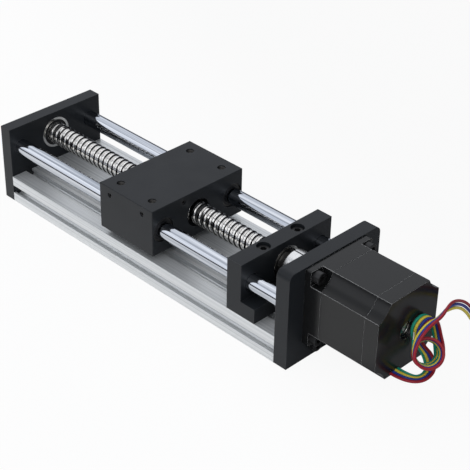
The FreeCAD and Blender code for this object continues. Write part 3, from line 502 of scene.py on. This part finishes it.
leads = (
    ("green", knot_count, 0.186, (0.015, 0.4, 0.27, 1), (0.01, 0.31, 0.21, 1)),
    ("yellow", len(bundle), 0.317, (0.95, 0.78, 0.09, 1), (0.86, 0.68, 0.06, 1)),
    ("blue", len(bundle), 0.326, (0.03, 0.06, 0.38, 1), (0.02, 0.04, 0.28, 1)),
    ("red", len(bundle), 0.336, (0.40, 0.014, 0.03, 1), (0.30, 0.01, 0.02, 1)))
for index, (lead_name, count, length, colour, shade) in enumerate(leads):
    points = lead_places(index - (len(leads) - 1) / 2, count)
    curve = bpy.data.curves.new(f"lead_{lead_name}_insulation", "CURVE")
    curve.dimensions = "3D"
    spline = curve.splines.new("NURBS")
    spline.points.add(len(points) - 1)
    for control, point in zip(spline.points, points):
        control.co = (*point, 1.0)
    spline.order_u = 3
    spline.use_endpoint_u = True
    spline.resolution_u = 8
    curve.bevel_depth = lead_thickness / 2
    curve.bevel_resolution = 4
    curve.use_fill_caps = True
    curve.materials.append(insulation(f"insulation_{lead_name}", colour, shade))
    lead = bpy.data.objects.new(curve.name, curve)
    bpy.context.scene.collection.objects.link(lead)
    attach(lead, "frame")
    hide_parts(f"lead_{lead_name}")
    ending = (points[-1] - points[-2]).normalized()
    strand = bmesh.new()
    bmesh.ops.create_cone(strand, cap_ends=True, segments=12, radius1=strand_radius,
                          radius2=strand_tip_radius, depth=strand_length)
    bmesh.ops.bevel(strand, geom=[edge for edge in strand.edges if len(edge.link_faces) == 2
                                  and edge.calc_face_angle() > sharp_angle],
                    offset=strand_edge, segments=2, affect="EDGES", profile=0.5, material=-1)
    bmesh.ops.transform(strand, matrix=Matrix.Translation(points[-1] + ending * strand_centre)
                        @ ending.to_track_quat("Z", "Y").to_matrix().to_4x4(), verts=strand.verts)
    tip = made_of(f"lead_{lead_name}_bare_end", strand, tinned.material)
    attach(tip, "frame")

# A white table, seen and mirrored as plain white, keeps the module's shadow. It shades off
# to the right, so that the faces turned there stay dark.
table_size = 3.0
shade_from = -0.02
shade_width = 0.2
white_seen = 0.93
white_mirrored = 0.9
table_white = Finish("white_table", Roughness=0.9, Specular_IOR_Level=0.1)
to_the_right = table_white.node("VectorMath", {"operation": "DOT_PRODUCT"},
                                {0: table_white.place, 1: (0.35, 0.94, 0)}, "Value")
table_white.feed("Base Color", table_white.ramp(
    (to_the_right - shade_from) * (1 / shade_width),
    (0.0, (0.9, 0.9, 0.9, 1)), (1.0, (0.42, 0.42, 0.42, 1))))
seen = table_white.node("LightPath", {}, {}, "Is Camera Ray")
mirrored = table_white.node("LightPath", {}, {}, "Is Glossy Ray")
through = table_white.node("LightPath", {}, {}, "Is Transmission Ray")
seen_white = seen.math("MAXIMUM", through) * white_seen
mirrored_white = mirrored * to_the_right.math("LESS_THAN", 0.0) * white_mirrored
glow = table_white.node("Emission", {}, {"Color": (1, 1, 1, 1), "Strength": 1.0})
lit = Value(table_white, table_white.shader.outputs[0])
table_surface = table_white.node(
    "MixShader", {}, {0: seen_white.math("MAXIMUM", mirrored_white), 1: lit, 2: glow})
table_white.tree.links.new(table_surface.socket,
                           table_white.tree.nodes["Material Output"].inputs["Surface"])
ground = bmesh.new()
bmesh.ops.create_grid(ground, x_segments=1, y_segments=1, size=table_size)
made_of("table_top", ground, table_white.material)


# The studio's own light falls from the left and fades towards the horizon, which leaves
# the rods a thin dark line. Large soft boxes stand above, to the left and in front.
class Studio(Finish):
    """The light all round, made of the same nodes as a finish."""

    def __init__(self, name):
        self.world = bpy.data.worlds.new(name)
        self.world.use_nodes = True
        self.tree = self.world.node_tree
        self.shader = self.tree.nodes["Background"]
        self.place = self.node("TexCoord", {}, {}, "Generated")


studio = Studio("studio")
upward = studio.node("SeparateXYZ", {}, {0: studio.place}, 2)
leftward = studio.node("VectorMath", {"operation": "DOT_PRODUCT"},
                       {0: studio.place, 1: (-0.55, -0.4, 0.73)}, "Value")
by_height = studio.ramp(upward, (0.0, (0.02, 0.022, 0.026, 1)), (0.14, (0.06, 0.065, 0.08, 1)),
                        (0.3, (0.5, 0.53, 0.6, 1)), (0.6, (0.67, 0.7, 0.76, 1)),
                        (1.0, (0.72, 0.73, 0.76, 1)))
by_side = studio.ramp(leftward, (0.0, (0.4, 0.4, 0.4, 1)), (0.3, (0.75, 0.75, 0.75, 1)),
                      (0.7, (1.0, 1.0, 1.0, 1)))
studio.feed("Color", studio.product(by_height, by_side))
studio.shader.inputs["Strength"].default_value = 1.0
bpy.context.scene.world = studio.world

soft_boxes = (
    ("box_above", (-0.9, 0.8, 1.4), (0, 0, 0.04), 2.6, 2.2, 7.5),
    ("box_left", (-1.0, -1.2, 0.85), (0, 0, 0.04), 2.8, 1.05, 5),
    ("box_front", (1.2, -0.9, 1.1), (0.1, 0, 0.04), 1.2, 0.9, 6))
for name, place, aim, width, height, watts in soft_boxes:
    lamp_data = bpy.data.lights.new(name, "AREA")
    lamp_data.shape = "RECTANGLE"
    lamp_data.size = width
    lamp_data.size_y = height
    lamp_data.energy = watts
    lamp = bpy.data.objects.new(name, lamp_data)
    lamp.location = place
    lamp.rotation_euler = (Vector(aim) - Vector(place)).to_track_quat("-Z", "Y").to_euler()
    bpy.context.scene.collection.objects.link(lamp)

bpy.context.scene.view_settings.view_transform = "Standard"
